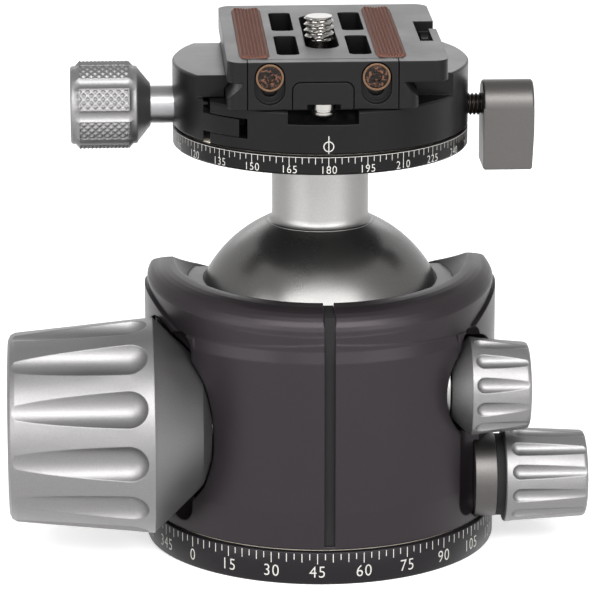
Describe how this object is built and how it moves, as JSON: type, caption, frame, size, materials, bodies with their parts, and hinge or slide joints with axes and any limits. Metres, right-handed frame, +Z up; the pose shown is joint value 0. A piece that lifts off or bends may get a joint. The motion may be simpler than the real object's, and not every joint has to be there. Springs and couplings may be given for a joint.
{
  "type": "tripod ball head",
  "caption": "Tripod ball head with a panning base, locking ball, round screw-knob clamp that pans on top, and a sliding dovetail quick-release plate.",
  "frame": {"origin": "centre of the tripod thread's mouth, in the plane the head stands on", "axes": "+Z up along the tripod thread and the neck, -Y toward the slit and the scale marks, +X toward the pan lock knob and the pan lever"},
  "size_m": [0.1205, 0.0789, 0.112],
  "materials": {
    "anodised_charcoal": "satin charcoal anodised, bead-blasted",
    "anodised_black": "satin black anodised",
    "anodised_plate": "fine-blasted dark grey anodised",
    "anodised_titanium": "bead-blasted titanium-grey anodised",
    "silver_aluminium": "bead-blasted clear anodised",
    "ball_satin": "fine satin grey anodised",
    "steel": "turned stainless steel",
    "blackened_steel": "blackened steel",
    "chrome": "bright nickel-plated steel",
    "brass": "turned brass",
    "bearing_polymer": "ivory bearing polymer",
    "rubber_black": "matt black rubber",
    "rubber_brown": "matt brown ribbed rubber"
  },
  "bodies": {
    "base": {"base_plate": "anodised_charcoal", "tripod_thread_bush": "steel", "pan_bearing_washer": "bearing_polymer", "pan_retaining_ring": "steel", "retaining_ring_screws": "steel"},
    "housing": {"housing": "anodised_charcoal", "slit_strip": "rubber_black", "upper_ball_ring": "anodised_black", "main_spindle_bush": "brass", "friction_spindle_bush": "silver_aluminium", "pan_lock_boss": "silver_aluminium"},
    "main_shoe": {"main_pressure_shoe": "brass"},
    "main_knob": {"main_lock_knob": "anodised_titanium", "main_spindle": "steel"},
    "friction_shoe": {"friction_shoe": "brass"},
    "friction_knob": {"friction_knob": "anodised_titanium", "friction_spindle": "steel"},
    "pan_shoe": {"pan_lock_shoe": "brass"},
    "pan_knob": {"pan_lock_knob": "anodised_titanium", "pan_lock_washer": "rubber_black", "pan_lock_spindle": "steel"},
    "ball_seat": {"ball_seat_ring": "bearing_polymer"},
    "ball": {"ball": "ball_satin", "neck": "silver_aluminium", "neck_stud": "steel", "top_scale_ring": "anodised_black", "clamp_hub": "steel", "hub_screw": "steel", "top_bearing_washer": "bearing_polymer"},
    "clamp": {"clamp_body": "anodised_black", "jaw_springs": "steel"},
    "jaw": {"movable_jaw": "anodised_black"},
    "clamp_knob": {"clamp_knob": "anodised_titanium", "clamp_screw": "steel"},
    "lever_shoe": {"pan_lever_shoe": "brass"},
    "lever": {"pan_lever": "anodised_titanium", "pan_lever_screw": "blackened_steel"},
    "plate": {"plate": "anodised_plate", "plate_pad_left": "rubber_brown", "plate_pad_right": "rubber_brown", "plate_stop_screws": "chrome", "flange_screws": "blackened_steel"},
    "flange": {"anti_twist_flange": "anodised_plate"},
    "screw_carrier": {"camera_screw_washer": "blackened_steel"},
    "camera_screw": {"camera_screw": "chrome"}
  },
  "joints": [
    {"name": "pan_base", "type": "hinge", "parent": "base", "child": "housing", "pos_m": [0, 0, 0.0136], "axis": [0, 0, 1], "continuous": true},
    {"name": "main_shoe_slide", "type": "slide", "parent": "housing", "child": "main_shoe", "axis": [-1, 0, 0], "range_m": [0, 0.000868]},
    {"name": "main_knob_turn", "type": "hinge", "parent": "main_shoe", "child": "main_knob", "pos_m": [-0.0352, -0.0195, 0.0298], "axis": [-1, 0, 0], "range_deg": [0, 250]},
    {"name": "friction_shoe_slide", "type": "slide", "parent": "housing", "child": "friction_shoe", "axis": [1, 0, 0], "range_m": [0, 0.0005777]},
    {"name": "friction_knob_turn", "type": "hinge", "parent": "friction_shoe", "child": "friction_knob", "pos_m": [0.02965, -0.0205, 0.0375], "axis": [1, 0, 0], "range_deg": [0, 260]},
    {"name": "pan_shoe_slide", "type": "slide", "parent": "housing", "child": "pan_shoe", "axis": [1, 0, 0], "range_m": [0, 0.0005777]},
    {"name": "pan_knob_turn", "type": "hinge", "parent": "pan_shoe", "child": "pan_knob", "pos_m": [0.0375, -0.015, 0.0164], "axis": [1, 0, 0], "range_deg": [0, 260]},
    {"name": "ball_swivel", "type": "hinge", "parent": "housing", "child": "ball_seat", "pos_m": [0, 0, 0.04356], "axis": [0, 0, 1], "range_deg": [0, 360]},
    {"name": "ball_tilt", "type": "hinge", "parent": "ball_seat", "child": "ball", "pos_m": [0, 0, 0.04356], "axis": [-1, 0, 0], "range_deg": [-36, 90]},
    {"name": "pan_top", "type": "hinge", "parent": "ball", "child": "clamp", "pos_m": [0, 0, 0.0896], "axis": [0, 0, 1], "continuous": true},
    {"name": "jaw_slide", "type": "slide", "parent": "clamp", "child": "jaw", "axis": [-1, 0, 0], "range_m": [0, 0.005]},
    {"name": "clamp_knob_turn", "type": "hinge", "parent": "jaw", "child": "clamp_knob", "pos_m": [-0.038, 0, 0.0936], "axis": [-1, 0, 0], "range_deg": [0, 1800]},
    {"name": "lever_shoe_slide", "type": "slide", "parent": "clamp", "child": "lever_shoe", "axis": [1, 0, 0], "range_m": [0, 0.0004]},
    {"name": "lever_turn", "type": "hinge", "parent": "lever_shoe", "child": "lever", "pos_m": [0.0338, 0, 0.0929], "axis": [1, 0, 0], "range_deg": [0, 180]},
    {"name": "plate_slide", "type": "slide", "parent": "clamp", "child": "plate", "axis": [0, 1, 0], "range_m": [-0.006, 0.006]},
    {"name": "flange_lift", "type": "slide", "parent": "plate", "child": "flange", "axis": [0, 0, 1], "range_m": [0, 0.0024]},
    {"name": "camera_screw_slide", "type": "slide", "parent": "plate", "child": "screw_carrier", "axis": [0, 1, 0], "range_m": [-0.012, 0.0148]},
    {"name": "camera_screw_turn", "type": "hinge", "parent": "screw_carrier", "child": "camera_screw", "pos_m": [-0.0003, 0, 0.1083], "axis": [0, 0, 1], "continuous": true}
  ],
  "couplings": [
    {"joint": "main_knob_turn", "follows": "main_shoe_slide", "rad_per_m": 5026.5},
    {"joint": "friction_knob_turn", "follows": "friction_shoe_slide", "rad_per_m": 7854},
    {"joint": "pan_knob_turn", "follows": "pan_shoe_slide", "rad_per_m": 7854},
    {"joint": "clamp_knob_turn", "follows": "jaw_slide", "rad_per_m": 6283.2},
    {"joint": "lever_turn", "follows": "lever_shoe_slide", "rad_per_m": 7854}
  ]
}
